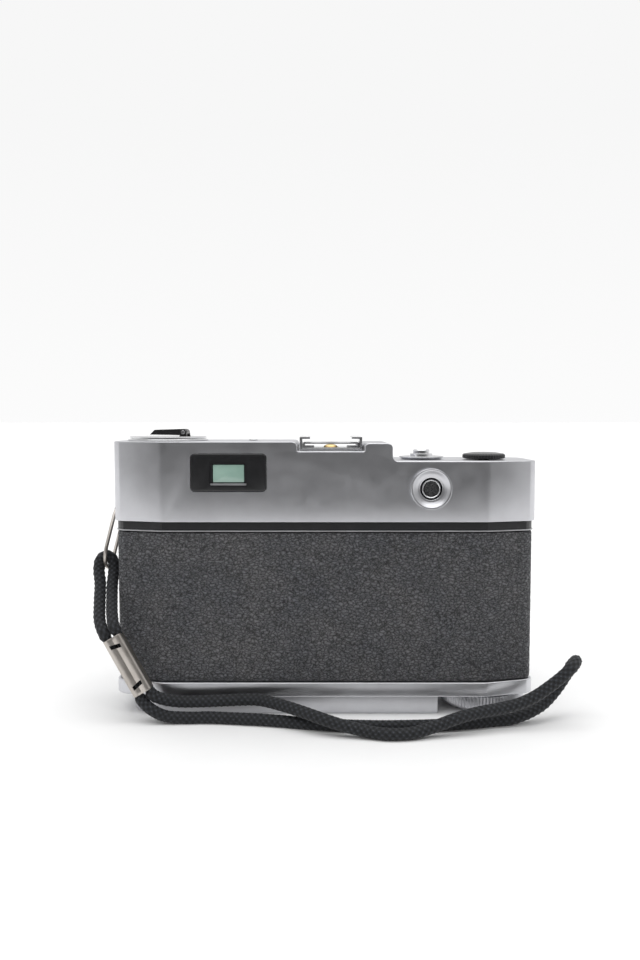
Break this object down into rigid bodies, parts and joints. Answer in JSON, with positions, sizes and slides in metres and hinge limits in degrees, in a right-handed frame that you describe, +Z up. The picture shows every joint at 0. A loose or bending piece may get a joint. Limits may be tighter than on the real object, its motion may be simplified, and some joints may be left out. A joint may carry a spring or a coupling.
{
  "type": "35 mm film camera",
  "caption": "Vintage film camera with fixed lens, hinged leather-clad back, chrome top and base, folding rewind crank, accessory shoe and braided wrist strap.",
  "frame": {"origin": "on the table, under the middle of the camera's box without its strap", "axes": "+X to the right seen from behind the camera, +Y towards the lens, +Z up"},
  "size_m": [0.1575, 0.0929, 0.0926],
  "materials": {
    "satin_chrome": "satin plated",
    "polished_chrome": "polished plated",
    "aluminium": "turned, bare",
    "steel": "brushed",
    "brass": "turned, bare",
    "black_paint": "semi-gloss black paint",
    "black_plastic": "moulded, gloss",
    "leather": "pebbled leatherette",
    "glass": "coated",
    "braid": "braided cord"
  },
  "bodies": {
    "camera": {"body_casting": "black_paint", "front_covering": "leather", "top_cover": "satin_chrome", "base_plate": "satin_chrome", "tripod_bush": "steel", "battery_cell": "steel", "door_hinge_pin": "steel", "hinge_ear_lower": "steel", "hinge_ear_upper": "steel", "rewind_base_ring": "polished_chrome", "accessory_shoe": "polished_chrome", "shoe_spring": "steel", "shoe_contact": "brass", "shutter_collar": "polished_chrome", "release_spring": "steel", "release_bracket": "steel", "check_button_ring": "polished_chrome", "viewfinder_bezel": "black_plastic", "eyepiece_glass": "glass", "finder_tube": "black_paint", "front_window_frame": "black_plastic", "finder_window": "glass", "frameline_window": "glass", "meter_window": "glass", "deck_screw": "polished_chrome", "lens_mount_ring": "polished_chrome", "lens_barrel": "black_paint", "lens_front_bezel": "black_paint", "shutter_unit": "black_paint", "rear_cell": "black_paint", "rear_element": "glass", "strap_lug_left": "polished_chrome", "strap_lug_right": "polished_chrome"},
    "back_door": {"back_door": "black_paint", "door_leather": "leather", "pressure_spring": "steel"},
    "pressure_plate": {"pressure_plate": "black_paint"},
    "wind_wheel": {"wind_wheel": "satin_chrome", "wind_shaft": "steel", "take_up_spool": "black_plastic"},
    "film_sprocket": {"film_sprocket": "steel"},
    "counter_knob": {"counter_knob": "black_plastic"},
    "rewind_bush": {"rewind_bush": "brass"},
    "rewind_knob": {"rewind_knob": "polished_chrome", "rewind_shaft": "steel", "crank_pin": "steel"},
    "rewind_crank": {"rewind_crank": "black_paint"},
    "shutter_button": {"shutter_button": "polished_chrome"},
    "check_button": {"check_button": "steel"},
    "focus_ring": {"focus_ring": "satin_chrome"},
    "lens_cell": {"lens_cell": "black_paint", "front_element": "glass"},
    "shutter_speed_ring": {"shutter_speed_ring": "satin_chrome"},
    "aperture_ring": {"aperture_ring": "satin_chrome"},
    "rewind_release_button": {"rewind_release_button": "steel"},
    "battery_cover": {"battery_cover": "aluminium"},
    "strap": {"strap_ring": "polished_chrome", "strap_crimp": "steel", "strap_hanger_cord": "braid", "strap_loop_cord": "braid"}
  },
  "joints": [
    {"name": "back_door_hinge", "type": "hinge", "parent": "camera", "child": "back_door", "pos_m": [0.06735, -0.0218, 0.0354], "axis": [0, 0, 1], "range_deg": [0, 150], "deforming": ["strap_ring", "strap_crimp", "strap_hanger_cord", "strap_loop_cord"]},
    {"name": "pressure_plate_give", "type": "slide", "parent": "back_door", "child": "pressure_plate", "axis": [0, -1, 0], "range_m": [0, 0.001], "stiffness_N_per_m": 800, "springref_m": -0.001, "deforming": ["pressure_spring"]},
    {"name": "wind_wheel_turn", "type": "hinge", "parent": "camera", "child": "wind_wheel", "pos_m": [0.0528, -0.0188, 0.0033], "axis": [0, 0, 1], "continuous": true},
    {"name": "film_sprocket_turn", "type": "hinge", "parent": "camera", "child": "film_sprocket", "pos_m": [0.032, -0.0196, 0.0354], "axis": [0, 0, 1], "continuous": true},
    {"name": "counter_knob_turn", "type": "hinge", "parent": "camera", "child": "counter_knob", "pos_m": [0.0528, -0.0188, 0.084], "axis": [0, 0, 1], "continuous": true},
    {"name": "rewind_turn", "type": "hinge", "parent": "camera", "child": "rewind_bush", "pos_m": [-0.0522, -0.017, 0.08], "axis": [0, 0, 1], "continuous": true},
    {"name": "rewind_lift", "type": "slide", "parent": "rewind_bush", "child": "rewind_knob", "axis": [0, 0, 1], "range_m": [0, 0.008]},
    {"name": "rewind_crank_fold", "type": "hinge", "parent": "rewind_knob", "child": "rewind_crank", "pos_m": [-0.0466, -0.017, 0.0913], "axis": [0, 1, 0], "range_deg": [0, 170]},
    {"name": "shutter_release", "type": "slide", "parent": "camera", "child": "shutter_button", "axis": [0, 0, -1], "range_m": [0, 0.0018], "stiffness_N_per_m": 500, "springref_m": -0.002, "deforming": ["release_spring"]},
    {"name": "battery_check_press", "type": "slide", "parent": "camera", "child": "check_button", "axis": [0, 1, 0], "range_m": [0, 0.0012], "stiffness_N_per_m": 500, "springref_m": -0.001},
    {"name": "focus_turn", "type": "hinge", "parent": "camera", "child": "focus_ring", "pos_m": [0, 0.0102, 0.0354], "axis": [0, 1, 0], "range_deg": [0, 110]},
    {"name": "lens_cell_travel", "type": "slide", "parent": "camera", "child": "lens_cell", "axis": [0, 1, 0], "range_m": [0, 0.0025]},
    {"name": "shutter_speed_turn", "type": "hinge", "parent": "camera", "child": "shutter_speed_ring", "pos_m": [0, 0.0182, 0.0354], "axis": [0, 1, 0], "range_deg": [0, 90]},
    {"name": "aperture_turn", "type": "hinge", "parent": "camera", "child": "aperture_ring", "pos_m": [0, 0.0252, 0.0354], "axis": [0, 1, 0], "range_deg": [0, 75]},
    {"name": "rewind_release_press", "type": "slide", "parent": "camera", "child": "rewind_release_button", "axis": [0, 0, 1], "range_m": [0, 0.0012], "stiffness_N_per_m": 400, "springref_m": -0.001},
    {"name": "battery_cover_turn", "type": "hinge", "parent": "camera", "child": "battery_cover", "pos_m": [-0.025, -0.0163, 0.002], "axis": [0, 0, 1], "range_deg": [0, 90]},
    {"name": "strap_swing", "type": "hinge", "parent": "camera", "child": "strap", "pos_m": [-0.0701, -0.0098, 0.0648], "axis": [-1, 0, 0], "range_deg": [0, 75]}
  ],
  "couplings": [
    {"joint": "film_sprocket_turn", "follows": "wind_wheel_turn", "ratio": 1},
    {"joint": "counter_knob_turn", "follows": "wind_wheel_turn", "ratio": 0.025},
    {"joint": "lens_cell_travel", "follows": "focus_turn", "m_per_rad": 0.0013}
  ]
}
